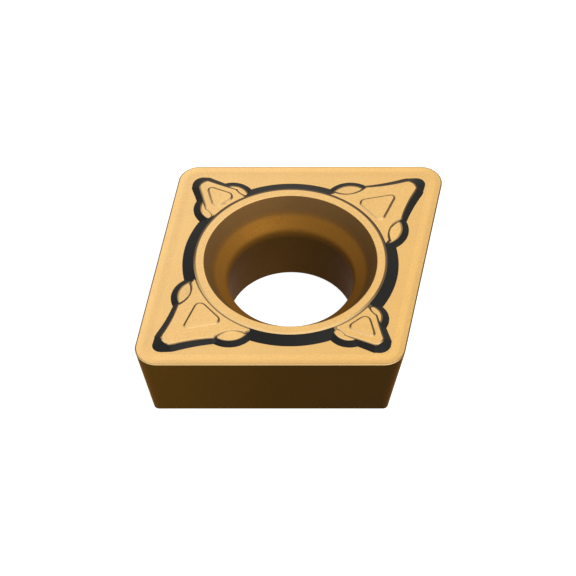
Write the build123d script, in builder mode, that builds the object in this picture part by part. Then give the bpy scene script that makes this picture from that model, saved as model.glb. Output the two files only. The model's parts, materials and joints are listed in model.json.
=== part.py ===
from build123d import *
from dataclasses import dataclass
from math import atan2, cos, radians, sin, tan
import os

# Plate: a rhombus that stands on its seat face and narrows towards it on every side
inscribed_circle = 9.525
corner_angle = 80.0
thickness = 3.18
clearance_angle = 11.0
nose_radius = 0.8
least_radius = 0.05

# Cutting edge, the rake face behind it and the apron that climbs back to the edge's level
edge_hone = 0.03
edge_land = 0.05
rake_width = 0.2
rake_angle = 12.0
apron_width = 0.25

# Collar round the screw hole, and the slope that its wall shares with the lobes
collar_height = 0.2
collar_radius = 3.44
collar_round = 0.03
wall_slope = 23.5

# Screw hole: a steep mouth, a shallower seat for the screw's head, then a straight bore
mouth_radius = 3.13
mouth_depth = 0.6
screw_seat_radius = 2.75
screw_seat_depth = 0.4
screw_seat_round = 0.45
throat_round = 0.35
bore_radius = 2.25
bore_chamfer = 0.15

# Corner islands: a dart that points at the nose, with a lobe on each side of its root
island_height = 0.155
dart_slope = 30.0
tip_crown = 0.02
shoulder_share = 0.9
scallop_end = 280.0
lobe_height = 0.1
lobe_crown = 0.03
lobe_crown_radius = 0.35

# Raised triangular mark on each dart
mark_height = 0.045
mark_wall = 0.045
mark_base_round = 0.14
mark_tip_round = 0.07

# Acute corners: sizes along the corner's bisector and across it
acute_tip_gap = 0.6
acute_tip_round = 0.3
acute_tip_wall = 0.49
acute_tip_face = 0.2
acute_shoulder = 0.455
acute_shoulder_round = 0.1
acute_flank_hollow = 0.045
acute_scallop_radius = 0.98
acute_scallop_outset = 0.35
acute_scallop_across = 1.95
acute_scallop_start = 205.5
acute_sliver_end = 29.5
acute_lobe_radius = 1.005
acute_lobe_inset = 0.34
acute_lobe_across = 0.86
acute_mark_inset = 0.21
acute_mark_length = 1.34
acute_mark_width = 1.41

# Obtuse corners, in the same way
obtuse_tip_gap = 0.55
obtuse_tip_round = 0.42
obtuse_tip_wall = 0.405
obtuse_tip_face = 0.18
obtuse_shoulder = 0.41
obtuse_shoulder_round = 0.15
obtuse_flank_hollow = 0.01
obtuse_scallop_radius = 0.87
obtuse_scallop_outset = -0.1
obtuse_scallop_across = 1.56
obtuse_scallop_start = 251.8
obtuse_sliver_end = 13.5
obtuse_lobe_radius = 0.84
obtuse_lobe_inset = 0.15
obtuse_lobe_across = 0.38
obtuse_mark_inset = 0.2
obtuse_mark_length = 1.06
obtuse_mark_width = 1.07

# Sizes that follow from the ones above
edge_reach = inscribed_circle / 2
half_angle = corner_angle / 2
rake_inset = edge_land + rake_width
rake_drop = rake_width * tan(radians(rake_angle))
apron_inset = rake_inset + apron_width
collar_foot = collar_radius + collar_height / tan(radians(wall_slope))
collar_top = thickness + collar_height
mouth_foot = collar_top - mouth_depth
throat = mouth_foot - screw_seat_depth
dart_wall = island_height / tan(radians(dart_slope))
lobe_wall = lobe_height / tan(radians(wall_slope))


def polar(radius, angle):
    """A point at this distance and direction from the middle of the hole."""
    return Vector(radius * cos(radians(angle)), radius * sin(radians(angle)))


def insert_outline(height, inset):
    """The insert's rounded rhombus at one height, this far inside its cutting edge."""
    reach = edge_reach - inset
    acute_reach = reach / sin(radians(half_angle))
    obtuse_reach = reach / cos(radians(half_angle))
    with BuildSketch(Plane.XY.offset(height)) as outline:
        Polygon(
            polar(acute_reach, half_angle),
            polar(obtuse_reach, half_angle + 90),
            polar(acute_reach, half_angle + 180),
            polar(obtuse_reach, half_angle + 270),
        )
        fillet(outline.vertices(), radius=max(nose_radius - inset, least_radius))
    return outline.sketch


@dataclass(frozen=True)
class Corner:
    """One kind of corner, in a frame whose X axis runs along its bisector to the nose."""

    half_angle: float
    tip_gap: float
    tip_round: float
    tip_wall: float
    tip_face: float
    shoulder: float
    shoulder_round: float
    flank_hollow: float
    scallop_radius: float
    scallop_centre: Vector
    scallop_start: float
    sliver_end: float
    lobe_radius: float
    lobe_along: float
    lobe_across: float
    mark_base: float
    mark_length: float
    mark_width: float

    def along(self, gap, across):
        """How far out a point lies that is this gap behind the cutting edge."""
        half = radians(self.half_angle)
        return (edge_reach - gap - across * cos(half)) / sin(half)

    def tip_centre(self):
        """The middle of the round tip of the dart's foot."""
        return self.along(self.tip_gap + self.tip_round, 0)


def dart_outline(corner, height, scallop_radius, shoulder, tip_side, tip):
    """A dart at one height: sliver, scallop, flank and tip on one side, then mirrored.

    A shoulder's rounding leaves some of the short wall between the shoulder and the tip.
    """
    with BuildSketch(Plane.XY.offset(height)) as outline:
        with BuildLine():
            sweep_angle = scallop_end - corner.scallop_start
            scallop = CenterArc(corner.scallop_centre, scallop_radius, corner.scallop_start, sweep_angle)
            sliver = polar(collar_radius, corner.sliver_end)
            root = polar(bore_radius, corner.sliver_end)
            Polyline(root, sliver, scallop @ 0)
            flank = SagittaArc(scallop @ 1, shoulder, -corner.flank_hollow)
            Line(shoulder, tip_side)
            mirror(about=Plane.XZ)
            ThreePointArc(tip_side, tip, (tip_side.X, -tip_side.Y))
            Line(root, (root.X, -root.Y))
        make_face()
        short_wall = tip_side - shoulder
        turn = radians((flank % 1).get_angle(short_wall))
        widest_round = shoulder_share * short_wall.length / tan(turn / 2)
        for place in (shoulder, (shoulder.X, -shoulder.Y)):
            vertex = outline.vertices().sort_by_distance(place)[0]
            fillet(vertex, radius=min(corner.shoulder_round, widest_round))
    return outline.sketch


def dart_foot(corner):
    """The dart's outline where its walls meet the floor, with a round tip."""
    half = radians(corner.half_angle)
    centre = corner.tip_centre()
    return dart_outline(
        corner,
        height=0,
        scallop_radius=corner.scallop_radius - dart_wall,
        shoulder=Vector(corner.along(corner.tip_gap, corner.shoulder), corner.shoulder),
        tip_side=Vector(centre + corner.tip_round * sin(half), corner.tip_round * cos(half)),
        tip=Vector(centre + corner.tip_round, 0),
    )


def dart_crest(corner):
    """The dart's outline at its top, with a nearly flat face across its tip."""
    face = corner.tip_centre() + corner.tip_round - corner.tip_wall
    return dart_outline(
        corner,
        height=island_height,
        scallop_radius=corner.scallop_radius,
        shoulder=Vector(face, corner.tip_face),
        tip_side=Vector(face + tip_crown * 3 / 4, corner.tip_face / 2),
        tip=Vector(face + tip_crown, 0),
    )


def mark_outline(corner, height, inset):
    """The rounded triangle of the mark at one height, this far inside its foot."""
    half = atan2(corner.mark_width / 2, corner.mark_length)
    base = corner.mark_base + inset
    length = corner.mark_length - inset - inset / sin(half)
    width = length * tan(half)
    with BuildSketch(Plane.XY.offset(height)) as outline:
        Polygon((base, -width), (base + length, 0), (base, width))
        corners = outline.vertices().sort_by(Axis.X)
        fillet(corners[:2], radius=mark_base_round - inset)
        fillet(outline.vertices().sort_by(Axis.X)[-1], radius=mark_tip_round - inset)
    return outline.sketch


def corner_island(corner):
    """A dart with its two lobes and its mark, standing on the height of the cutting edge."""
    with BuildPart() as island:
        loft([dart_foot(corner).face(), dart_crest(corner).face()], ruled=True)

        lobe_top = corner.lobe_radius - lobe_wall
        lobe_places = [(corner.lobe_along, side * corner.lobe_across) for side in (1, -1)]
        with Locations(*lobe_places):
            Cone(corner.lobe_radius, lobe_top, lobe_height, align=(Align.CENTER, Align.CENTER, Align.MIN))
        with Locations(*[(x, y, lobe_height) for x, y in lobe_places]):
            Cone(lobe_top, lobe_crown_radius, lobe_crown, align=(Align.CENTER, Align.CENTER, Align.MIN))

        foot = mark_outline(corner, island_height, inset=0)
        crest = mark_outline(corner, island_height + mark_height, inset=mark_wall)
        loft([foot.face(), crest.face()], ruled=True)
    return island.part


acute_corner = Corner(
    half_angle=half_angle,
    tip_gap=acute_tip_gap,
    tip_round=acute_tip_round,
    tip_wall=acute_tip_wall,
    tip_face=acute_tip_face,
    shoulder=acute_shoulder,
    shoulder_round=acute_shoulder_round,
    flank_hollow=acute_flank_hollow,
    scallop_radius=acute_scallop_radius,
    scallop_centre=Vector(collar_foot + acute_scallop_outset, acute_scallop_across),
    scallop_start=acute_scallop_start,
    sliver_end=acute_sliver_end,
    lobe_radius=acute_lobe_radius,
    lobe_along=collar_foot - acute_lobe_inset,
    lobe_across=acute_lobe_across,
    mark_base=collar_foot - acute_mark_inset,
    mark_length=acute_mark_length,
    mark_width=acute_mark_width,
)

obtuse_corner = Corner(
    half_angle=90 - half_angle,
    tip_gap=obtuse_tip_gap,
    tip_round=obtuse_tip_round,
    tip_wall=obtuse_tip_wall,
    tip_face=obtuse_tip_face,
    shoulder=obtuse_shoulder,
    shoulder_round=obtuse_shoulder_round,
    flank_hollow=obtuse_flank_hollow,
    scallop_radius=obtuse_scallop_radius,
    scallop_centre=Vector(collar_foot + obtuse_scallop_outset, obtuse_scallop_across),
    scallop_start=obtuse_scallop_start,
    sliver_end=obtuse_sliver_end,
    lobe_radius=obtuse_lobe_radius,
    lobe_along=collar_foot - obtuse_lobe_inset,
    lobe_across=obtuse_lobe_across,
    mark_base=collar_foot - obtuse_mark_inset,
    mark_length=obtuse_mark_length,
    mark_width=obtuse_mark_width,
)

acute_island = corner_island(acute_corner)
obtuse_island = corner_island(obtuse_corner)

with BuildPart() as carbide_insert:
    # The plate: its sides keep the cutting edge and lean in below it by the clearance angle
    extrude(insert_outline(0, 0), amount=thickness)
    sides = carbide_insert.faces().sort_by(Axis.Z)[1:-1]
    draft(sides, Plane.XY.offset(thickness), -clearance_angle)
    edge = carbide_insert.faces().sort_by(Axis.Z)[-1].edges()
    fillet(edge, radius=edge_hone)

    # The rake face falls away behind the edge, and the apron climbs back
    rake_rim = insert_outline(thickness, edge_land)
    groove = insert_outline(thickness - rake_drop, rake_inset)
    apron_rim = insert_outline(thickness, apron_inset)
    loft([rake_rim.face(), groove.face()], ruled=True, mode=Mode.SUBTRACT)
    loft([groove.face(), apron_rim.face()], ruled=True)

    # The islands at the corners, then the collar that joins them
    with Locations((0, 0, thickness)):
        for turn in (half_angle, half_angle + 180):
            add(acute_island, rotation=(0, 0, turn))
            add(obtuse_island, rotation=(0, 0, turn + 90))
        Cone(collar_foot, collar_radius, collar_height, align=(Align.CENTER, Align.CENTER, Align.MIN))

    # The screw hole, from the mouth in the collar to the chamfer in the seat
    with BuildSketch(Plane.XZ):
        with BuildLine():
            wall = FilletPolyline(
                (mouth_radius, collar_top),
                (screw_seat_radius, mouth_foot),
                (bore_radius, throat),
                (bore_radius, bore_chamfer),
                radius=(screw_seat_round, throat_round),
            )
            Polyline(wall @ 1, (bore_radius + bore_chamfer, 0), (0, 0), (0, collar_top), wall @ 0)
        make_face()
    revolve(axis=Axis.Z, mode=Mode.SUBTRACT)

    # Both edges of the collar's top are a little rounded
    collar_edges = carbide_insert.edges().filter_by(GeomType.CIRCLE).group_by(Axis.Z)[-1]
    fillet(collar_edges, radius=collar_round)

carbide_insert.part.label = "carbide_insert"

os.makedirs("parts", exist_ok=True)
export_step(carbide_insert.part, "parts/carbide_insert.step")
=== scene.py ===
"""The looks of a carbide insert: soft pressed edges, gold faces with dark walls, painted shade and
highlights, and the coating's fine grain.

Sizes are in millimetres. The insert is shaped at a thousand times its real size, where the
operators' own tolerances are small beside its edges, and is brought to metres at the end.
"""

from __future__ import annotations

import json
import logging
import math
from collections.abc import Callable, Iterable, Mapping
from dataclasses import dataclass
from enum import Enum

import bpy
from mathutils import Matrix, Vector

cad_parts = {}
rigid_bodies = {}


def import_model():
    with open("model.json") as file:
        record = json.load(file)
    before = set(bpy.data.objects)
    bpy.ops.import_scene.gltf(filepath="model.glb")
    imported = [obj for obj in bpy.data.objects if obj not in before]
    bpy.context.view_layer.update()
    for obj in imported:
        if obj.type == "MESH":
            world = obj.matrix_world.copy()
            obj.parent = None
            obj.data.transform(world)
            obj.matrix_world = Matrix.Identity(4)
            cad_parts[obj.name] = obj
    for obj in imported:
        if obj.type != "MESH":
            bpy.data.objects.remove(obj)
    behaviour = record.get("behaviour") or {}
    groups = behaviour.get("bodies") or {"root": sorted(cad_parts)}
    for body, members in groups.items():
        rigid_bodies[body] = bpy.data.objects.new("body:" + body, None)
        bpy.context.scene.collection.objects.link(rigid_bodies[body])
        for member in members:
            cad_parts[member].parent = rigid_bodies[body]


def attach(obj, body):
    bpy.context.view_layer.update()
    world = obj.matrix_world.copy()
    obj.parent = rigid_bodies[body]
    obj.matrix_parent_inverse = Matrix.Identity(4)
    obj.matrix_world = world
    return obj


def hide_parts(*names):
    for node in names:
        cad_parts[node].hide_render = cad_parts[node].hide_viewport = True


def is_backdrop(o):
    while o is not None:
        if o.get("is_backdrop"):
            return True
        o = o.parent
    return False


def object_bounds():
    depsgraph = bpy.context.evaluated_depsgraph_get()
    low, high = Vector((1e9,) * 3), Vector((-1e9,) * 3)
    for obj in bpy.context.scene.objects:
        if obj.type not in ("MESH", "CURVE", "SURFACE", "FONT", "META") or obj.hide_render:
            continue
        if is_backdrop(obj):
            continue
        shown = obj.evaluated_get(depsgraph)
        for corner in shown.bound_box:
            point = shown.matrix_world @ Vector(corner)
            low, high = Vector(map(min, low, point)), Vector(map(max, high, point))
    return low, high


LOG = logging.getLogger("carbide_insert")

METRES_PER_MILLIMETRE = 0.001
STEEPEST_GOLD = 8.0
LEVEL_NORMAL = 0.999
TOUCHING = 0.001
WELD = 0.0001
NODE = "carbide_insert"

Colour = tuple[float, float, float]
EdgeTest = Callable[[Vector, Vector], bool]
FaceTest = Callable[[Vector, Vector], bool]


class Finish(Enum):
    """The finishes of the insert, in the order of its material slots."""

    GOLD_FACE = 0
    BLACK_WALL = 1
    EDGE_LINE = 2
    STEP_LINE = 3
    HOLE_WALL = 4
    # the flanks' finish is painted shade
    SHADED_FLANK = 5


def start_afresh() -> None:
    """Leave edit mode and deselect everything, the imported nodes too."""
    if bpy.context.object is not None and bpy.context.object.mode != "OBJECT":
        bpy.ops.object.mode_set(mode="OBJECT")
    bpy.ops.object.select_all(action="DESELECT")


def choose(piece: bpy.types.Object) -> None:
    """Make one piece the only selected object and the active one.

    Args:
        piece: The piece to work on.
    """
    start_afresh()
    piece.select_set(True)
    bpy.context.view_layer.objects.active = piece


def apply_modifiers(piece: bpy.types.Object) -> None:
    """Apply every modifier of a piece, in order.

    Args:
        piece: The piece whose modifiers become part of its mesh.
    """
    choose(piece)
    for modifier in list(piece.modifiers):
        bpy.ops.object.modifier_apply(modifier=modifier.name)


def deselect_mesh(piece: bpy.types.Object, kind: str) -> None:
    """Deselect the whole mesh of a piece, and leave edit mode.

    Args:
        piece: The piece whose mesh is deselected.
        kind: What is selected next: VERT, EDGE or FACE.
    """
    choose(piece)
    bpy.ops.object.mode_set(mode="EDIT")
    bpy.ops.mesh.select_mode(type=kind)
    bpy.ops.mesh.select_all(action="DESELECT")
    bpy.ops.object.mode_set(mode="OBJECT")


def select_edges(piece: bpy.types.Object, wanted: EdgeTest) -> None:
    """Select the edges whose two ends pass a test, and enter edit mode in edge mode.

    Args:
        piece: The piece whose edges are looked at.
        wanted: Takes the two ends of an edge and says whether the edge is selected.
    """
    deselect_mesh(piece, "EDGE")
    vertices = piece.data.vertices
    for edge in piece.data.edges:
        ends = [vertices[index].co for index in edge.vertices]
        edge.select = wanted(ends[0], ends[1])
    bpy.ops.object.mode_set(mode="EDIT")


def round_edges(piece: bpy.types.Object, radius: float, segments: int, wanted: EdgeTest) -> None:
    """Bevel the edges that pass a test.

    Args:
        piece: The piece to work on.
        radius: How far the bevel reaches on each side of an edge.
        segments: How many strips the bevel has.
        wanted: Takes the two ends of an edge and says whether the edge is bevelled.
    """
    select_edges(piece, wanted)
    bpy.ops.mesh.bevel(offset=radius, segments=segments, affect="EDGES", clamp_overlap=False)
    bpy.ops.object.mode_set(mode="OBJECT")


def close_openings(piece: bpy.types.Object) -> None:
    """Merge doubled points, fill every open rim with a face and turn all faces outwards.

    Args:
        piece: The piece to close.
    """
    choose(piece)
    bpy.ops.object.mode_set(mode="EDIT")
    bpy.ops.mesh.select_mode(type="VERT")
    bpy.ops.mesh.select_all(action="SELECT")
    bpy.ops.mesh.remove_doubles(threshold=WELD)
    bpy.ops.mesh.select_all(action="DESELECT")
    bpy.ops.mesh.select_non_manifold()
    bpy.ops.mesh.fill_holes(sides=0)
    bpy.ops.mesh.select_all(action="SELECT")
    bpy.ops.mesh.normals_make_consistent(inside=False)
    bpy.ops.object.mode_set(mode="OBJECT")


def dress(piece: bpy.types.Object, finish: Finish, wanted: FaceTest | None = None) -> None:
    """Give a finish to the faces that pass a test.

    Args:
        piece: The piece whose faces are dressed.
        finish: The finish that they get.
        wanted: Takes a face's centre and normal and says whether it is dressed. None means all.
    """
    while len(piece.data.materials) < len(Finish):
        piece.data.materials.append(None)
    for face in piece.data.polygons:
        if wanted is None or wanted(face.center, face.normal):
            face.material_index = finish.value


def dress_raised(piece: bpy.types.Object) -> None:
    """Dress a raised piece: black walls, and gold where it is nearly level.

    Args:
        piece: The piece whose faces are dressed.
    """
    dress(piece, Finish.BLACK_WALL)
    level = math.cos(math.radians(STEEPEST_GOLD))
    dress(piece, Finish.GOLD_FACE, lambda centre, normal: normal.z > level)


class Pen:
    """Draws a chain of edges, as by hand: each line is an extrusion and each arc a spin."""

    def __init__(self, start: Vector, axis: Vector = Vector((0, 0, 1))) -> None:
        """Put down the first point.

        Args:
            start: Where the chain starts.
            axis: The direction about which arcs turn.
        """
        start_afresh()
        bpy.ops.mesh.primitive_plane_add(size=1.0)
        self.piece = bpy.context.object
        self.axis = axis
        self.tip = start
        bpy.ops.object.mode_set(mode="EDIT")
        bpy.ops.mesh.select_mode(type="VERT")
        bpy.ops.mesh.select_all(action="SELECT")
        bpy.ops.mesh.merge(type="CENTER")
        bpy.ops.transform.translate(value=start)

    def line(self, end: Vector) -> None:
        """Draw a straight line to a point."""
        bpy.ops.mesh.extrude_vertices_move(TRANSFORM_OT_translate={"value": end - self.tip})
        self.tip = end

    def arc(self, centre: Vector, angle: float, steps: int) -> None:
        """Draw an arc about a centre.

        Args:
            centre: The middle of the arc.
            angle: How far it turns about the pen's axis, in radians.
            steps: How many edges it has.
        """
        bpy.ops.mesh.spin(steps=steps, angle=-angle, center=centre, axis=self.axis)
        turn = Vector(self.axis)
        spoke = self.tip - centre
        along = turn * spoke.dot(turn)
        across = spoke - along
        self.tip = centre + along + across * math.cos(angle) + turn.cross(spoke) * math.sin(angle)

    def bow(self, end: Vector, rise: float, steps: int) -> None:
        """Draw a slight arc to a point.

        Args:
            end: Where the arc ends.
            rise: How far its middle lies to the left of the chord.
            steps: How many edges it has.
        """
        chord = end - self.tip
        left = self.axis.cross(chord).normalized()
        radius = (chord.length_squared / 4 + rise**2) / (2 * rise)
        centre = (self.tip + end) / 2 + left * (rise - radius)
        angle = -2 * math.asin(chord.length / 2 / radius)
        self.arc(centre, angle, steps)
        self.tip = end

    def rounded(self, corner: Vector, end: Vector, radius: float, steps: int) -> None:
        """Draw a line towards a corner, an arc round it and a line on to a point.

        Args:
            corner: Where the two lines would meet.
            end: Where the second line ends.
            radius: The radius of the arc between them.
            steps: How many edges the arc has.
        """
        back = (self.tip - corner).normalized()
        ahead = (end - corner).normalized()
        half = back.angle(ahead) / 2
        reach = radius / math.tan(half)
        centre = corner + (back + ahead).normalized() * radius / math.sin(half)
        self.line(corner + back * reach)
        turn = math.pi - 2 * half
        side = math.copysign(1.0, self.axis.dot(ahead.cross(back)))
        self.arc(centre, turn * side, steps)
        self.line(end)

    def lift(self, name: str) -> bpy.types.Object:
        """Leave edit mode and name the drawn piece.

        Args:
            name: The name that it gets.

        Returns:
            The drawn chain as an object.
        """
        bpy.ops.object.mode_set(mode="OBJECT")
        self.piece.name = name
        return self.piece


def polar(radius: float, degrees: float) -> Vector:
    """Return the point at this distance and direction from the middle of the hole."""
    angle = math.radians(degrees)
    return Vector((radius * math.cos(angle), radius * math.sin(angle), 0))


@dataclass(frozen=True)
class Plate:
    """The rhombic plate: its seat, leaning flanks, honed cutting edge, rake face and apron."""

    thickness: float
    inscribed_circle: float = 9.525
    corner_angle: float = 80.0
    clearance_angle: float = 11.0
    nose_radius: float = 0.8
    edge_hone: float = 0.04
    edge_land: float = 0.05
    land_share: float = 0.7
    rake_width: float = 0.2
    rake_angle: float = 15.0
    apron_width: float = 0.25
    groove_round: float = 0.25
    land_round: float = 0.12
    apron_round: float = 0.35
    seat_round: float = 0.02
    nose_step: float = 4.0
    least_upright_land: float = 0.96
    least_upright_hone: float = 0.3

    def nose_centres(self) -> list[Vector]:
        """Find the middles of the four noses.

        Returns:
            The middles, anticlockwise from the acute nose at +X +Y.
        """
        half = math.radians(self.corner_angle / 2)
        reach = self.inscribed_circle / 2 - self.nose_radius
        first = self.corner_angle / 2
        return [
            polar(reach / math.sin(half), first),
            polar(reach / math.cos(half), first + 90),
            polar(reach / math.sin(half), first + 180),
            polar(reach / math.cos(half), first + 270),
        ]

    def draw_profile(self, centre: Vector, outward: Vector) -> Pen:
        """Draw the plate's section from its seat over the cutting edge to the floor.

        Args:
            centre: The middle of the nose where the section stands.
            outward: The direction from there to the cutting edge.

        Returns:
            The pen, still drawing.
        """
        lean = math.tan(math.radians(self.clearance_angle))
        drop = self.rake_width * math.tan(math.radians(self.rake_angle))
        rake_inset = self.edge_land + self.rake_width
        apron_inset = rake_inset + self.apron_width

        def point(inset: float, height: float) -> Vector:
            """Return the point this far inside the cutting edge, at this height."""
            return centre + outward * (self.nose_radius - inset) + Vector((0, 0, height))

        seat_edge = point(self.thickness * lean, 0)
        edge = point(0, self.thickness)
        land = point(self.edge_land, self.thickness)
        groove = point(rake_inset, self.thickness - drop)
        rim = point(apron_inset, self.thickness)
        floor = point(apron_inset + self.apron_round / 10, self.thickness)
        start = point(self.thickness * lean + 2 * self.seat_round, 0)
        pen = Pen(start, axis=outward.cross(Vector((0, 0, 1))))
        pen.rounded(seat_edge, (seat_edge + edge) / 2, self.seat_round, steps=3)
        pen.rounded(edge, edge.lerp(land, self.land_share), self.edge_hone, steps=5)
        pen.rounded(land, (land + groove) / 2, self.land_round, steps=3)
        pen.rounded(groove, (groove + rim) / 2, self.groove_round, steps=5)
        pen.rounded(rim, floor, self.apron_round, steps=4)
        return pen

    def build(self) -> bpy.types.Object:
        """Sweep the section round the rhombus, arc by arc, and close it.

        Returns:
            The plate as a closed mesh.
        """
        centres = self.nose_centres()
        sweeps = [180 - self.corner_angle, self.corner_angle] * 2
        pen = self.draw_profile(centres[0], polar(1, (self.corner_angle - sweeps[0]) / 2))
        bpy.ops.mesh.select_all(action="SELECT")
        for index, (centre, sweep) in enumerate(zip(centres, sweeps)):
            bpy.ops.mesh.spin(
                steps=round(sweep / self.nose_step),
                angle=-math.radians(sweep),
                center=centre,
                axis=(0, 0, 1),
            )
            following = centres[(index + 1) % len(centres)]
            bpy.ops.mesh.extrude_edges_move(TRANSFORM_OT_translate={"value": following - centre})
        plate = pen.lift("plate")
        close_openings(plate)
        dress(plate, Finish.GOLD_FACE)
        # the hone and steeper faces take the line colour, a painted highlight on the front side and
        # painted shade on the others; the flanks take painted shade
        dress(plate, Finish.EDGE_LINE, lambda centre, normal: normal.z < self.least_upright_land)
        dress(plate, Finish.SHADED_FLANK, lambda centre, normal: normal.z < self.least_upright_hone)
        return plate


@dataclass(frozen=True)
class Collar:
    """The raised ring round the screw hole, with a sloping wall."""

    floor: float
    height: float = 0.2
    radius: float = 3.44
    wall_slope: float = 23.5
    sink: float = 0.08
    top_round: float = 0.06
    steps: int = 192

    @property
    def foot(self) -> float:
        """The radius at which the wall meets the floor."""
        return self.radius + self.height / math.tan(math.radians(self.wall_slope))

    def build(self) -> bpy.types.Object:
        """Model the collar as a cone whose foot lies a little below the floor.

        Returns:
            The collar as a closed mesh.
        """
        start_afresh()
        bpy.ops.mesh.primitive_cone_add(
            vertices=self.steps,
            radius1=self.foot + self.sink / math.tan(math.radians(self.wall_slope)),
            radius2=self.radius,
            depth=self.height + self.sink,
            location=(0, 0, self.floor + (self.height - self.sink) / 2),
        )
        collar = bpy.context.object
        collar.name = "collar"
        bpy.ops.object.transform_apply(location=True)
        top = self.floor + self.height
        round_edges(collar, self.top_round, 4, lambda one, other: min(one.z, other.z) > top - TOUCHING)
        dress_raised(collar)
        return collar


@dataclass(frozen=True)
class Corner:
    """One kind of corner: a dart that points at the nose, two lobes and a raised mark.

    Its frame has X along the corner's bisector, out to the nose, and Z up from the floor.
    """

    name: str
    half_angle: float
    collar: Collar
    tip_gap: float
    tip_round: float
    tip_wall: float
    tip_face: float
    shoulder: float
    shoulder_round: float
    flank_hollow: float
    scallop_radius: float
    scallop_outset: float
    scallop_across: float
    scallop_start: float
    sliver_end: float
    lobe_radius: float
    lobe_inset: float
    lobe_across: float
    mark_inset: float
    mark_length: float
    mark_width: float
    edge_reach: float = 9.525 / 2
    root_radius: float = 2.25
    height: float = 0.155
    wall_slope: float = 30.0
    tip_crown: float = 0.02
    flank_share: float = 0.9
    scallop_end: float = 280.0
    top_round: float = 0.06
    lobe_height: float = 0.1
    lobe_crown: float = 0.03
    lobe_crown_radius: float = 0.35
    lobe_round: float = 0.07
    lobe_steps: int = 96
    mark_height: float = 0.045
    mark_base_round: float = 0.2
    mark_tip_round: float = 0.13
    dart_sink: float = 0.05
    lobe_sink: float = 0.065
    mark_sink: float = 0.03

    def along(self, gap: float, across: float) -> float:
        """Return how far out a point lies that is this gap behind the cutting edge."""
        half = math.radians(self.half_angle)
        return (self.edge_reach - gap - across * math.cos(half)) / math.sin(half)

    def between(self, foot: Vector, crest: Vector, share: float) -> Vector:
        """Return the point this share of the way up the wall, from its foot to its crest."""
        return Vector((*foot.lerp(crest, share).xy, share * self.height))

    def draw_half_dart(self, share: float) -> bpy.types.Object:
        """Draw one half of the dart's outline, from its root to its tip.

        Args:
            share: The outline's height as a share of the dart's, from 0 at the floor to 1.

        Returns:
            The half outline, with both ends on the bisector.
        """
        half = math.radians(self.half_angle)
        centre = self.along(self.tip_gap + self.tip_round, 0)
        face = centre + self.tip_round - self.tip_wall
        level = Vector((0, 0, share * self.height))
        root = polar(self.root_radius, self.sliver_end) + level
        shoulder = self.between(
            Vector((self.along(self.tip_gap, self.shoulder), self.shoulder)).to_3d(),
            Vector((face, self.tip_face)).to_3d(),
            share,
        )
        tip_side = self.between(
            Vector((centre + self.tip_round * math.sin(half), self.tip_round * math.cos(half))).to_3d(),
            Vector((face + self.tip_crown * 3 / 4, self.tip_face / 2)).to_3d(),
            share,
        )
        tip = self.between(
            Vector((centre + self.tip_round, 0)).to_3d(),
            Vector((face + self.tip_crown, 0)).to_3d(),
            share,
        )
        wall = self.height / math.tan(math.radians(self.wall_slope))
        scallop = Vector((self.collar.foot + self.scallop_outset, self.scallop_across, level.z))
        radius = self.scallop_radius - wall * (1 - share)
        pen = Pen(Vector((root.x, 0, level.z)))
        pen.line(root)
        pen.line(polar(self.collar.radius, self.sliver_end) + level)
        pen.line(scallop + polar(radius, self.scallop_start))
        pen.arc(scallop, math.radians(self.scallop_end - self.scallop_start), steps=16)
        pen.bow(pen.tip.lerp(shoulder, self.flank_share), -self.flank_hollow, steps=8)
        pen.rounded(shoulder, tip_side, self.shoulder_round, steps=5)
        rise = tip.x - tip_side.x
        radius = (tip_side.y**2 + rise**2) / (2 * rise)
        middle = Vector((tip.x - radius, 0, level.z))
        pen.arc(middle, -math.atan2(tip_side.y, tip_side.x - middle.x), steps=6)
        return pen.lift(f"outline_{share:.2f}")

    def build_dart(self) -> bpy.types.Object:
        """Join the outlines at the foot and the crest by the dart's wall, and round its top.

        Returns:
            The dart as a closed mesh.
        """
        halves = [self.draw_half_dart(share) for share in (-self.dart_sink / self.height, 1.0)]
        choose(halves[0])
        halves[1].select_set(True)
        bpy.ops.object.join()
        dart = bpy.context.object
        dart.name = f"{self.name}_dart"
        mirror = dart.modifiers.new("both_halves", "MIRROR")
        mirror.use_axis = (False, True, False)
        mirror.merge_threshold = TOUCHING
        apply_modifiers(dart)
        bpy.ops.object.mode_set(mode="EDIT")
        bpy.ops.mesh.select_mode(type="EDGE")
        bpy.ops.mesh.select_all(action="SELECT")
        bpy.ops.mesh.bridge_edge_loops()
        bpy.ops.object.mode_set(mode="OBJECT")
        close_openings(dart)
        top = self.height - TOUCHING
        round_edges(dart, self.top_round, 3, lambda one, other: min(one.z, other.z) > top)
        dress_raised(dart)
        return dart

    def build_lobe(self, side: int) -> bpy.types.Object:
        """Model a lobe: a low cone with a slight crown.

        Args:
            side: 1 for the lobe on the left of the bisector, -1 for the other.

        Returns:
            The lobe as a closed mesh.
        """
        slope = math.tan(math.radians(self.collar.wall_slope))
        sink = self.lobe_sink
        top_radius = self.lobe_radius - self.lobe_height / slope
        centre = Vector((self.collar.foot - self.lobe_inset, side * self.lobe_across, 0))
        start_afresh()
        bpy.ops.mesh.primitive_cone_add(
            vertices=self.lobe_steps,
            radius1=self.lobe_radius + sink / slope,
            radius2=top_radius,
            depth=self.lobe_height + sink,
            location=centre + Vector((0, 0, (self.lobe_height - sink) / 2)),
        )
        lobe = bpy.context.object
        lobe.name = f"{self.name}_lobe"
        bpy.ops.object.transform_apply(location=True)
        deselect_mesh(lobe, "FACE")
        for face in lobe.data.polygons:
            face.select = face.normal.z > LEVEL_NORMAL and face.center.z > 0
        bpy.ops.object.mode_set(mode="EDIT")
        bpy.ops.mesh.inset(thickness=top_radius - self.lobe_crown_radius, depth=0)
        bpy.ops.transform.translate(value=(0, 0, self.lobe_crown))
        bpy.ops.object.mode_set(mode="OBJECT")
        level = self.lobe_height

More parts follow.
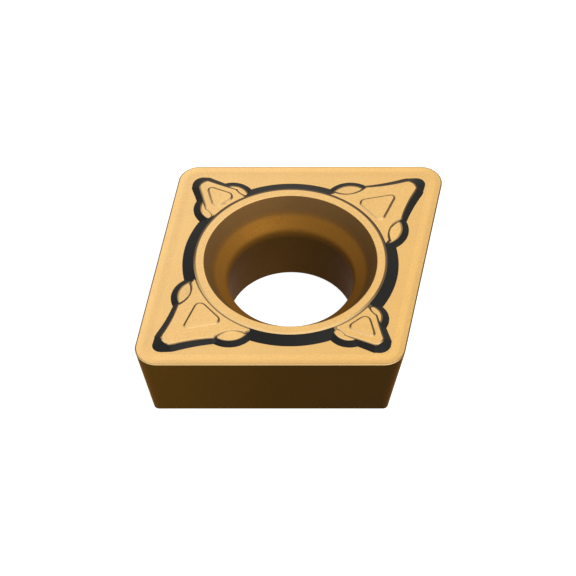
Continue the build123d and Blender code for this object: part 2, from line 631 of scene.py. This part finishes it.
        def is_rim(one: Vector, other: Vector) -> bool:
            """Say whether an edge lies round the lobe's top."""
            return max(abs(one.z - level), abs(other.z - level)) < TOUCHING

        round_edges(lobe, self.lobe_round, 3, is_rim)
        dress_raised(lobe)
        return lobe

    def build_mark(self) -> bpy.types.Object:
        """Model the raised triangle on the dart, with soft walls.

        Returns:
            The mark as a closed mesh.
        """
        base = self.collar.foot - self.mark_inset
        low = self.height - self.mark_sink
        middle = Vector((base, 0, low))
        left = Vector((base, self.mark_width / 2, low))
        apex = Vector((base + self.mark_length, 0, low))
        right = Vector((base, -self.mark_width / 2, low))
        pen = Pen(middle)
        pen.rounded(right, (right + apex) / 2, self.mark_base_round, steps=8)
        pen.rounded(apex, (left + apex) / 2, self.mark_tip_round, steps=8)
        pen.rounded(left, middle, self.mark_base_round, steps=8)
        bpy.ops.mesh.select_all(action="SELECT")
        bpy.ops.mesh.extrude_edges_move(
            TRANSFORM_OT_translate={"value": (0, 0, self.mark_sink + self.mark_height)}
        )
        mark = pen.lift(f"{self.name}_mark")
        close_openings(mark)
        top = self.height + self.mark_height - TOUCHING
        round_edges(mark, self.mark_height, 4, lambda one, other: min(one.z, other.z) > top)
        # the mark's walls take the line colour: a painted highlight on the front side, painted shade on
        # the others
        dress(mark, Finish.EDGE_LINE)
        dress(mark, Finish.GOLD_FACE, lambda centre, normal: normal.z > LEVEL_NORMAL)
        return mark

    def build(self, turn: float) -> list[bpy.types.Object]:
        """Model the corner's pieces and turn them into place.

        Args:
            turn: The direction of the corner's bisector in the insert, in degrees.

        Returns:
            The dart, the lobes and the mark.
        """
        pieces = [self.build_dart(), self.build_lobe(1), self.build_lobe(-1), self.build_mark()]
        for piece in pieces:
            choose(piece)
            piece.location = (0, 0, self.collar.floor)
            piece.rotation_euler = (0, 0, math.radians(turn))
            bpy.ops.object.transform_apply(location=True, rotation=True)
        return pieces


@dataclass(frozen=True)
class ScrewHole:
    """The hole for the screw: a steep mouth, a shallower seat for its head and a straight bore."""

    top: float
    mouth_radius: float = 3.13
    mouth_depth: float = 0.6
    seat_radius: float = 2.75
    seat_depth: float = 0.4
    seat_round: float = 0.45
    throat_round: float = 0.35
    bore_radius: float = 2.25
    bore_chamfer: float = 0.15
    overshoot: float = 0.3
    mouth_round: float = 0.04
    steps: int = 192

    def build_cutter(self) -> bpy.types.Object:
        """Spin the hole's section into the body that is cut out of the insert.

        Returns:
            The cutter as a closed mesh.
        """
        lean = (self.mouth_radius - self.seat_radius) / self.mouth_depth
        seat_top = self.top - self.mouth_depth
        throat = seat_top - self.seat_depth

        def point(radius: float, height: float) -> Vector:
            """Return the point this far from the hole's axis, at this height."""
            return Vector((radius, 0, height))

        start = point(self.mouth_radius + self.overshoot * lean, self.top + self.overshoot)
        seat = point(self.seat_radius, seat_top)
        bore = point(self.bore_radius, throat)
        chamfer = point(self.bore_radius, self.bore_chamfer)
        pen = Pen(start, axis=Vector((0, -1, 0)))
        pen.rounded(seat, (seat + bore) / 2, self.seat_round, steps=8)
        pen.rounded(bore, (bore + chamfer) / 2, self.throat_round, steps=8)
        pen.line(chamfer)
        pen.line(point(self.bore_radius + self.bore_chamfer, 0))
        pen.line(point(self.bore_radius + self.bore_chamfer + self.overshoot, -self.overshoot))
        bpy.ops.mesh.select_all(action="SELECT")
        bpy.ops.mesh.spin(steps=self.steps, angle=math.tau, center=(0, 0, 0), axis=(0, 0, 1))
        cutter = pen.lift("hole_cutter")
        close_openings(cutter)
        dress(cutter, Finish.HOLE_WALL)
        return cutter

    def is_mouth(self, one: Vector, other: Vector) -> bool:
        """Say whether an edge lies on the hole's rim in the collar's top."""
        return all(
            abs(end.z - self.top) < TOUCHING and abs(end.xy.length - self.mouth_radius) < 5 * TOUCHING
            for end in (one, other)
        )


@dataclass(frozen=True)
class InsertBody:
    """The whole insert, joined and cut as one piece."""

    plate: Plate
    collar: Collar
    hole: ScrewHole
    acute: Corner
    obtuse: Corner
    mark_foot_round: float = 0.045
    rim_slope: float = 21.0
    step_share: float = 0.9
    smooth_angle: float = 22.0
    normal_weight: int = 90

    def combine(
        self, body: bpy.types.Object, others: Iterable[bpy.types.Object], operation: str
    ) -> None:
        """Join pieces to the body or cut them out of it, and remove them.

        Args:
            body: The piece that stays.
            others: The pieces that are used up.
            operation: UNION or DIFFERENCE.
        """
        others = list(others)
        group = bpy.data.collections.new("operands")
        bpy.context.scene.collection.children.link(group)
        for piece in others:
            for owner in list(piece.users_collection):
                owner.objects.unlink(piece)
            group.objects.link(piece)
        modifier = body.modifiers.new("combine", "BOOLEAN")
        modifier.operation = operation
        modifier.operand_type = "COLLECTION"
        modifier.solver = "EXACT"
        modifier.collection = group
        apply_modifiers(body)
        for piece in others:
            bpy.data.objects.remove(piece)
        bpy.data.collections.remove(group)

    def find_seams(
        self, body: bpy.types.Object, finish: Finish, level: float
    ) -> list[bpy.types.MeshEdge]:
        """Find the edges at one level where the gold meets another finish.

        Args:
            body: The joined insert.
            finish: The finish on the other side of the edges.
            level: The height of the edges.

        Returns:
            The edges of the body's mesh.
        """
        sides: dict[tuple[int, int], set[int]] = {}
        for face in body.data.polygons:
            for key in face.edge_keys:
                sides.setdefault(key, set()).add(face.material_index)
        wanted = {Finish.GOLD_FACE.value, finish.value}
        vertices = body.data.vertices
        return [
            edge
            for edge in body.data.edges
            if sides.get(edge.key) == wanted
            and all(abs(vertices[index].co.z - level) < TOUCHING for index in edge.vertices)
        ]

    def fill_mark_feet(self, body: bpy.types.Object) -> None:
        """Fill the sharp foot of each mark with a small hollow round.

        Args:
            body: The joined insert.
        """
        deselect_mesh(body, "EDGE")
        for edge in self.find_seams(body, Finish.EDGE_LINE, self.collar.floor + self.acute.height):
            edge.select = True
        bpy.ops.object.mode_set(mode="EDIT")
        # the hollow round takes the line colour: a painted highlight on the front side, painted shade
        # on the others
        bpy.ops.mesh.bevel(
            offset=self.mark_foot_round,
            segments=4,
            affect="EDGES",
            clamp_overlap=False,
            material=Finish.EDGE_LINE.value,
        )
        bpy.ops.object.mode_set(mode="OBJECT")

    def dress_steps(self, body: bpy.types.Object) -> None:
        """Dress the walls of the small steps, and the rounded rims of the darts and the collar, with
        the colours that carry painted highlight and painted shade.

        Args:
            body: The joined insert.
        """
        step = self.collar.floor + self.acute.lobe_height * self.step_share
        leaning = math.cos(math.radians(self.rim_slope))
        for face in body.data.polygons:
            lowest = min(body.data.vertices[index].co.z for index in face.vertices)
            if face.material_index == Finish.BLACK_WALL.value and lowest > step:
                # near-level rims take the line colour's painted highlight and shade, steeper step walls
                # the darker painted shade
                finish = Finish.EDGE_LINE if face.normal.z > leaning else Finish.STEP_LINE
                face.material_index = finish.value

    def build(self) -> bpy.types.Object:
        """Model the insert and bring it to its real size.

        Returns:
            The insert's body.
        """
        body = self.plate.build()
        half = self.plate.corner_angle / 2
        raised = [self.collar.build()]
        for turn in (half, half + 180):
            raised += self.acute.build(turn)
            raised += self.obtuse.build(turn + 90)
        self.combine(body, raised, "UNION")
        self.fill_mark_feet(body)
        self.combine(body, [self.hole.build_cutter()], "DIFFERENCE")
        round_edges(body, self.hole.mouth_round, 4, self.hole.is_mouth)
        self.dress_steps(body)
        body.name = "insert_body"
        bpy.ops.object.shade_smooth_by_angle(angle=math.radians(self.smooth_angle))
        for edge in self.find_seams(body, Finish.BLACK_WALL, self.collar.floor):
            edge.use_edge_sharp = True
        body.scale = (METRES_PER_MILLIMETRE,) * 3
        bpy.ops.object.transform_apply(scale=True)
        weighted = body.modifiers.new("even_normals", "WEIGHTED_NORMAL")
        weighted.keep_sharp = True
        weighted.weight = self.normal_weight
        apply_modifiers(body)
        return body


def model_insert(height: float) -> InsertBody:
    """Set out the insert from its packed height.

    Args:
        height: The insert's height with its collar, in millimetres.

    Returns:
        The insert's parts with their sizes.
    """
    floor = height - Collar.height
    collar = Collar(floor=floor)
    plate = Plate(thickness=floor)
    acute = Corner(
        name="acute",
        half_angle=plate.corner_angle / 2,
        collar=collar,
        tip_gap=0.6,
        tip_round=0.3,
        tip_wall=0.49,
        tip_face=0.2,
        shoulder=0.455,
        shoulder_round=0.1,
        flank_hollow=0.045,
        scallop_radius=0.98,
        scallop_outset=0.35,
        scallop_across=1.95,
        scallop_start=205.5,
        sliver_end=29.5,
        lobe_radius=1.005,
        lobe_inset=0.34,
        lobe_across=0.86,
        mark_inset=0.21,
        mark_length=1.34,
        mark_width=1.41,
    )
    obtuse = Corner(
        name="obtuse",
        half_angle=90 - plate.corner_angle / 2,
        collar=collar,
        tip_gap=0.55,
        tip_round=0.42,
        tip_wall=0.405,
        tip_face=0.18,
        shoulder=0.41,
        shoulder_round=0.15,
        flank_hollow=0.01,
        scallop_radius=0.87,
        scallop_outset=-0.1,
        scallop_across=1.56,
        scallop_start=251.8,
        sliver_end=13.5,
        lobe_radius=0.84,
        lobe_inset=0.15,
        lobe_across=0.38,
        mark_inset=0.2,
        mark_length=1.06,
        mark_width=1.07,
    )
    return InsertBody(plate, collar, ScrewHole(top=height), acute, obtuse)


@dataclass(frozen=True)
class Wiring:
    """A node tree that is being wired, of a material or of a group.

    A node's inputs are given by name or number, each as a value or as another node's output.
    """

    tree: bpy.types.NodeTree

    def add(self, kind: str, inputs: Mapping[str | int, object], **settings: object) -> bpy.types.Node:
        """Add a node, with its settings made before its inputs are joined or set.

        Args:
            kind: The node's type.
            inputs: What each input is joined to or set to.
            **settings: The node's own properties.

        Returns:
            The new node.
        """
        node = self.tree.nodes.new(kind)
        for name, value in settings.items():
            setattr(node, name, value)
        for name, value in inputs.items():
            if isinstance(value, bpy.types.NodeSocket):
                self.tree.links.new(value, node.inputs[name])
            else:
                node.inputs[name].default_value = value
        return node

    def calculate(self, one: object, other: object, operation: str = "ADD") -> bpy.types.NodeSocket:
        """Return the result of a calculation with two numbers."""
        return self.add("ShaderNodeMath", {0: one, 1: other}, operation=operation).outputs[0]

    def place(self) -> bpy.types.NodeSocket:
        """Return a point's place on the piece."""
        return self.add("ShaderNodeTexCoord", {}).outputs["Object"]


def build_grain_group() -> bpy.types.NodeTree:
    """Build the group for the coating's fine grain, with larger and fainter patches in it.

    Returns:
        A group that turns a colour and a roughness into varied ones, and gives a height.
    """
    group = bpy.data.node_groups.new("coating_grain", "ShaderNodeTree")
    group.interface.new_socket("Colour", in_out="INPUT", socket_type="NodeSocketColor")
    for name in ("Roughness", "Grain Scale", "Grain Amount", "Patch Scale", "Patch Amount"):
        group.interface.new_socket(name, in_out="INPUT", socket_type="NodeSocketFloat")
    group.interface.new_socket("Colour", in_out="OUTPUT", socket_type="NodeSocketColor")
    group.interface.new_socket("Roughness", in_out="OUTPUT", socket_type="NodeSocketFloat")
    group.interface.new_socket("Height", in_out="OUTPUT", socket_type="NodeSocketFloat")
    wiring = Wiring(group)
    given = wiring.add("NodeGroupInput", {}).outputs
    place = wiring.place()
    shade = 1.0
    fine = None
    for size in ("Grain", "Patch"):
        noise = wiring.add(
            "ShaderNodeTexNoise",
            {"Vector": place, "Scale": given[f"{size} Scale"], "Detail": 3.0, "Roughness": 0.6},
        ).outputs[0]
        fine = fine or noise
        swing = wiring.calculate(noise, 0.5, "SUBTRACT")
        shade = wiring.calculate(shade, wiring.calculate(swing, given[f"{size} Amount"], "MULTIPLY"))
    colour = wiring.add("ShaderNodeVectorMath", {0: given["Colour"], "Scale": shade}, operation="SCALE")
    roughness = wiring.calculate(given["Roughness"], shade, "DIVIDE")
    wiring.add("NodeGroupOutput", {"Colour": colour.outputs[0], "Roughness": roughness, "Height": fine})
    return group


@dataclass(frozen=True)
class Grain:
    """How strong and how large the coating's grain and patches are on one finish."""

    amount: float = 0.5
    scale: float = 22000.0
    patch_amount: float = 0.1
    patch_scale: float = 900.0
    bump: float = 0.1
    bump_depth: float = 2e-6


@dataclass(frozen=True, kw_only=True)
class Coating:
    """One finish of the coated carbide: a grained, drifting colour with a soft metallic shine.

    The colour drifts along one direction; on the hole and the flank this drift is painted shade. A band
    is a distance along it, in metres, and the colour there.
    """

    roughness: float
    metallic: float
    along: tuple[float, float, float]
    bands: tuple[tuple[float, Colour], ...]
    specular: float = 0.15
    tint: Colour = (1.0, 1.0, 1.0)
    grain: Grain = Grain()

    def tone(self, wiring: Wiring) -> tuple[object, object]:
        """Wire the colour that the grain is laid over.

        Args:
            wiring: The material's node tree.

        Returns:
            The colour, and how metallic the coating is.
        """
        distance = wiring.add(
            "ShaderNodeVectorMath", {0: wiring.place(), 1: self.along}, operation="DOT_PRODUCT"
        ).outputs["Value"]
        first, last = self.bands[0][0], self.bands[-1][0]
        share = wiring.add(
            "ShaderNodeMapRange", {"Value": distance, "From Min": first, "From Max": last}
        )
        ramp = wiring.add("ShaderNodeValToRGB", {"Fac": share.outputs[0]})
        stops = ramp.color_ramp.elements
        stops.remove(stops[-1])
        for index, (place, colour) in enumerate(self.bands):
            stop = stops[0] if index == 0 else stops.new((place - first) / (last - first))
            stop.color = (*colour, 1)
        return ramp.outputs[0], self.metallic

    def build(self, name: str, grain_group: bpy.types.NodeTree) -> bpy.types.Material:
        """Build the material.

        Args:
            name: The name that it gets.
            grain_group: The shared group for the coating's grain.

        Returns:
            The material.
        """
        material = bpy.data.materials.new(name)
        material.use_nodes = True
        material.node_tree.nodes.clear()
        wiring = Wiring(material.node_tree)
        colour, metallic = self.tone(wiring)
        grained = wiring.add(
            "ShaderNodeGroup",
            {
                "Colour": colour,
                "Roughness": self.roughness,
                "Grain Scale": self.grain.scale,
                "Grain Amount": self.grain.amount,
                "Patch Scale": self.grain.patch_scale,
                "Patch Amount": self.grain.patch_amount,
            },
            node_tree=grain_group,
        )
        bump = wiring.add(
            "ShaderNodeBump",
            {
                "Strength": self.grain.bump,
                "Distance": self.grain.bump_depth,
                "Height": grained.outputs["Height"],
            },
        )
        shader = wiring.add(
            "ShaderNodeBsdfPrincipled",
            {
                "Base Color": grained.outputs["Colour"],
                "Roughness": grained.outputs["Roughness"],
                "Metallic": metallic,
                "Specular IOR Level": self.specular,
                "Specular Tint": (*self.tint, 1),
                "Normal": bump.outputs[0],
            },
        )
        wiring.add("ShaderNodeOutputMaterial", {"Surface": shader.outputs[0]})
        return material


@dataclass(frozen=True, kw_only=True)
class WallCoating(Coating):
    """The colour of the walls: dark where they are steep, fading into the gold where they level out.

    A wall is dark from its steep slope on and gold up to its level one, both in degrees.
    """

    dark: Colour
    steep: float
    level: float

    def blend(self, wiring: Wiring, value: object, low: float, high: float) -> bpy.types.NodeSocket:
        """Wire a smooth climb between two values.

        Args:
            wiring: The material's node tree.
            value: What is compared with the two values.
            low: Where the climb starts.
            high: Where it ends.

        Returns:
            0 up to the low value and 1 from the high one.
        """
        return wiring.add(
            "ShaderNodeMapRange",
            {"Value": value, "From Min": low, "From Max": high},
            interpolation_type="SMOOTHSTEP",
        ).outputs[0]

    def steep_tone(self, wiring: Wiring, normal: bpy.types.NodeSocket) -> object:
        """Return the colour of the steep part of a wall."""
        return (*self.dark, 1)

    def tone(self, wiring: Wiring) -> tuple[object, object]:
        """Wire the dark colour where a wall is steep, and gold where it is level.

        Args:
            wiring: The material's node tree.

        Returns:
            The colour, and how metallic the coating is: not at all where it is dark.
        """
        gold, metallic = super().tone(wiring)
        normal = wiring.add("ShaderNodeTexCoord", {}).outputs["Normal"]
        upright = wiring.add("ShaderNodeSeparateXYZ", {0: normal}).outputs["Z"]
        low, high = math.cos(math.radians(self.steep)), math.cos(math.radians(self.level))
        share = self.blend(wiring, upright, low, high)
        steep = self.steep_tone(wiring, normal)
        mixed = wiring.add("ShaderNodeMix", {"Factor": share, 6: steep, 7: gold}, data_type="RGBA")
        return mixed.outputs[2], wiring.calculate(share, metallic, "MULTIPLY")


@dataclass(frozen=True, kw_only=True)
class PaintedLightLine(WallCoating):
    """The colour of thin steps, rims and the honed edge: a painted highlight on the side that faces the
    front, and painted shade on the others.
    """

    # pale is a painted highlight for walls that face the side given below; dark is painted shade for
    # the rest
    pale: Colour
    highlight_side: tuple[float, float, float] = (-0.25, -0.97, 0.0)
    highlight_from: float = 0.1
    highlight_to: float = 0.85

    def steep_tone(self, wiring: Wiring, normal: bpy.types.NodeSocket) -> object:
        """Wire a painted highlight where a wall faces the front side, and painted shade, the dark
        colour, elsewhere.

        Args:
            wiring: The material's node tree.
            normal: The wall's normal.

        Returns:
            The colour of the steep part of a wall.
        """
        flat = wiring.add("ShaderNodeVectorMath", {0: normal, 1: (1, 1, 0)}, operation="MULTIPLY")
        heading = wiring.add("ShaderNodeVectorMath", {0: flat.outputs[0]}, operation="NORMALIZE")
        facing = wiring.add(
            "ShaderNodeVectorMath", {0: heading.outputs[0], 1: self.highlight_side}, operation="DOT_PRODUCT"
        )
        share = self.blend(wiring, facing.outputs["Value"], self.highlight_from, self.highlight_to)
        # painted shade where the wall faces away, painted highlight where it faces the front
        colours = {6: (*self.dark, 1), 7: (*self.pale, 1)}
        return wiring.add("ShaderNodeMix", {"Factor": share, **colours}, data_type="RGBA").outputs[2]


def build_finishes(height: float) -> dict[Finish, bpy.types.Material]:
    """Build a material for each finish of the insert.

    Args:
        height: The insert's height in metres.

    Returns:
        The materials by finish.
    """
    grain_group = build_grain_group()
    golden = {
        "roughness": 0.45,
        "metallic": 0.4,
        "along": (0.86, -0.51, 0.0),
        "bands": ((-0.006, (0.968, 0.625, 0.256)), (0.006, (0.872, 0.525, 0.168))),
    }
    # Painted shade in the screw hole, which has the same gold coating: darkest in the bore, mid brown
    # on the mouth, and a lighter band on the screw seat as a painted highlight.
    mouth = (0.175, 0.092, 0.031)
    screw_seat = (0.25, 0.11, 0.017)
    bore = (0.087, 0.041, 0.008)
    painted_hole_shade = {0.0: bore, 0.62: bore, 0.74: screw_seat, 0.8: screw_seat, 0.88: mouth, 1.0: mouth}
    coatings = {
        Finish.GOLD_FACE: Coating(**golden),
        Finish.BLACK_WALL: WallCoating(**golden, dark=(0.0095, 0.0095, 0.008), steep=16.0, level=4.0),
        # Painted light on the hone, the marks and the rounded rims: a cream painted highlight on the
        # front-facing side, painted shade in brown on the others.
        Finish.EDGE_LINE: PaintedLightLine(
            **golden, dark=(0.15, 0.09, 0.04), steep=11.0, level=3.0, pale=(0.95, 0.64, 0.28)
        ),
        # Painted shade on the walls of the small steps: near-black brown, with a lighter brown painted
        # highlight on the front-facing side.
        Finish.STEP_LINE: PaintedLightLine(
            **golden, dark=(0.03, 0.02, 0.01), steep=19.0, level=6.0, pale=(0.36, 0.22, 0.09)
        ),
        # the hole's colour is painted shade that changes with height
        Finish.HOLE_WALL: Coating(
            roughness=0.55,
            metallic=0.3,
            along=(0.0, 0.0, 1.0),
            bands=tuple((share * height, colour) for share, colour in painted_hole_shade.items()),
            specular=0.05,
            tint=(0.75, 0.42, 0.03),
        ),
        # Painted shade: the flank has the same gold coating as the top, and this dark brown stands in
        # for its shade; the lighter brown towards -X is a painted highlight on the left nose.
        Finish.SHADED_FLANK: Coating(
            roughness=0.4,
            metallic=0.9,
            along=(1.0, 0.0, 0.0),
            bands=(
                (-0.0046, (0.056, 0.0325, 0.0085)),
                (-0.0005, (0.033, 0.0215, 0.0064)),
                (0.004, (0.0265, 0.0185, 0.0058)),
            ),
            tint=(0.69, 0.48, 0.03),
        ),
    }
    return {
        finish: coating.build(finish.name.lower(), grain_group) for finish, coating in coatings.items()
    }


@dataclass(frozen=True)
class Viewpoint:
    """The camera: its direction, distance and what lies in the middle of the picture."""

    azimuth: float = 0.7375
    elevation: float = 49.0
    roll: float = -0.5759
    distance: float = 0.185276
    focal_pixels: float = 5140.64
    picture_pixels: int = 576
    sensor: float = 36.0
    aim_right: float = -0.0000893
    aim_up: float = -0.000868

    def place(self, target: Vector) -> None:
        """Put the camera down and make it the scene's camera.

        Args:
            target: The point that the distance is measured to.
        """
        azimuth = math.radians(self.azimuth)
        elevation = math.radians(self.elevation)
        back = Vector(
            (
                math.sin(azimuth) * math.cos(elevation),
                -math.cos(azimuth) * math.cos(elevation),
                math.sin(elevation),
            )
        )
        level = Vector((0, 0, 1)).cross(back).normalized()
        roll = math.radians(self.roll)
        upright = back.cross(level)
        right = level * math.cos(roll) + upright * math.sin(roll)
        up = upright * math.cos(roll) - level * math.sin(roll)
        start_afresh()
        bpy.ops.object.camera_add()
        camera = bpy.context.object
        camera.name = "camera"
        turn = Matrix((right, up, back)).transposed().to_4x4()
        middle = target + right * self.aim_right + up * self.aim_up
        camera.matrix_world = Matrix.Translation(middle + back * self.distance) @ turn
        camera.data.sensor_width = self.sensor
        camera.data.lens = self.focal_pixels * self.sensor / self.picture_pixels
        camera.data.clip_start = 0.01
        bpy.context.scene.camera = camera


@dataclass(frozen=True)
class Studio:
    """A plain white studio: the floor, the sky all round and one soft lamp."""

    floor_size: float = 1.0
    floor_drop: float = 1e-5
    floor_glow: float = 0.93
    floor_white: float = 0.5
    sky_fill: float = 0.45
    lamp_azimuth: float = 50.0
    lamp_elevation: float = 50.0
    lamp_distance: float = 0.3
    lamp_size: float = 0.16
    lamp_level: float = 0.63

    def build_floor(self) -> bpy.types.Object:
        """Lay the floor, which glows white for the camera and keeps a faint shadow.

        Returns:
            The floor.
        """
        start_afresh()
        bpy.ops.mesh.primitive_plane_add(size=self.floor_size, location=(0, 0, -self.floor_drop))
        floor = bpy.context.object
        floor.name = "floor"
        bpy.ops.object.transform_apply(location=True)
        material = bpy.data.materials.new("studio_white")
        material.use_nodes = True
        material.node_tree.nodes.clear()
        wiring = Wiring(material.node_tree)
        glow = wiring.calculate(self.seen_directly(wiring), self.floor_glow, "MULTIPLY")
        shader = wiring.add(
            "ShaderNodeBsdfPrincipled",
            {
                "Base Color": (self.floor_white,) * 3 + (1,),
                "Roughness": 1.0,
                "Specular IOR Level": 0.0,
                "Emission Color": (1, 1, 1, 1),
                "Emission Strength": glow,
            },
        )
        wiring.add("ShaderNodeOutputMaterial", {"Surface": shader.outputs[0]})
        floor.data.materials.append(material)
        return floor

    def seen_directly(self, wiring: Wiring) -> bpy.types.NodeSocket:
        """Wire a mask of what is looked at directly.

        Args:
            wiring: The node tree of the floor or the sky.

        Returns:
            1 where the eye, a reflection or a clear piece looks straight at it.
        """
        path = wiring.add("ShaderNodeLightPath", {}).outputs
        mirrored = wiring.calculate(path["Is Glossy Ray"], path["Is Transmission Ray"])
        either = wiring.add("ShaderNodeMath", {0: path["Is Camera Ray"], 1: mirrored}, use_clamp=True)
        return either.outputs[0]

    def light_sky(self) -> None:
        """Make the sky white to the eye and softer as a light."""
        world = bpy.data.worlds.new("studio_sky")
        world.use_nodes = True
        world.node_tree.nodes.clear()
        wiring = Wiring(world.node_tree)
        gain = wiring.calculate(self.seen_directly(wiring), 1 - self.sky_fill, "MULTIPLY")
        strength = wiring.calculate(gain, self.sky_fill)
        sky = wiring.add("ShaderNodeBackground", {"Color": (1, 1, 1, 1), "Strength": strength})
        wiring.add("ShaderNodeOutputWorld", {"Surface": sky.outputs[0]})
        bpy.context.scene.world = world

    def hang_lamp(self) -> None:
        """Hang the soft lamp, in front of the insert and above it."""
        elevation = math.radians(self.lamp_elevation)
        spot = polar(math.cos(elevation), self.lamp_azimuth - 90) + Vector((0, 0, math.sin(elevation)))
        start_afresh()
        bpy.ops.object.light_add(type="AREA", location=spot * self.lamp_distance)
        lamp = bpy.context.object
        lamp.name = "key_lamp"
        lamp.rotation_euler = spot.to_track_quat("Z", "Y").to_euler()
        lamp.data.shape = "SQUARE"
        lamp.data.size = self.lamp_size
        lamp.data.energy = self.lamp_level * math.pi**2 * self.lamp_distance**2

    def build(self) -> None:
        """Set up the floor, the sky and the lamp."""
        self.build_floor()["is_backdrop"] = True
        self.light_sky()
        self.hang_lamp()
        bpy.context.scene.view_settings.view_transform = "Standard"
        LOG.info("studio: floor, sky and one lamp")


def main() -> None:
    """Build the insert and its studio in order."""
    logging.basicConfig(level=logging.INFO, format="%(name)s: %(message)s")
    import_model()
    cad_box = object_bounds()
    height = cad_box[1].z - cad_box[0].z
    insert = model_insert(height / METRES_PER_MILLIMETRE)
    Viewpoint().place(Vector((0, 0, insert.plate.thickness * METRES_PER_MILLIMETRE)))
    body = insert.build()
    finishes = build_finishes(height)
    for finish in Finish:
        body.data.materials[finish.value] = finishes[finish]
    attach(body, "root")
    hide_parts(NODE)
    LOG.info("insert body: %d faces in %d finishes", len(body.data.polygons), len(Finish))
    Studio().build()


if __name__ == "__main__":
    main()
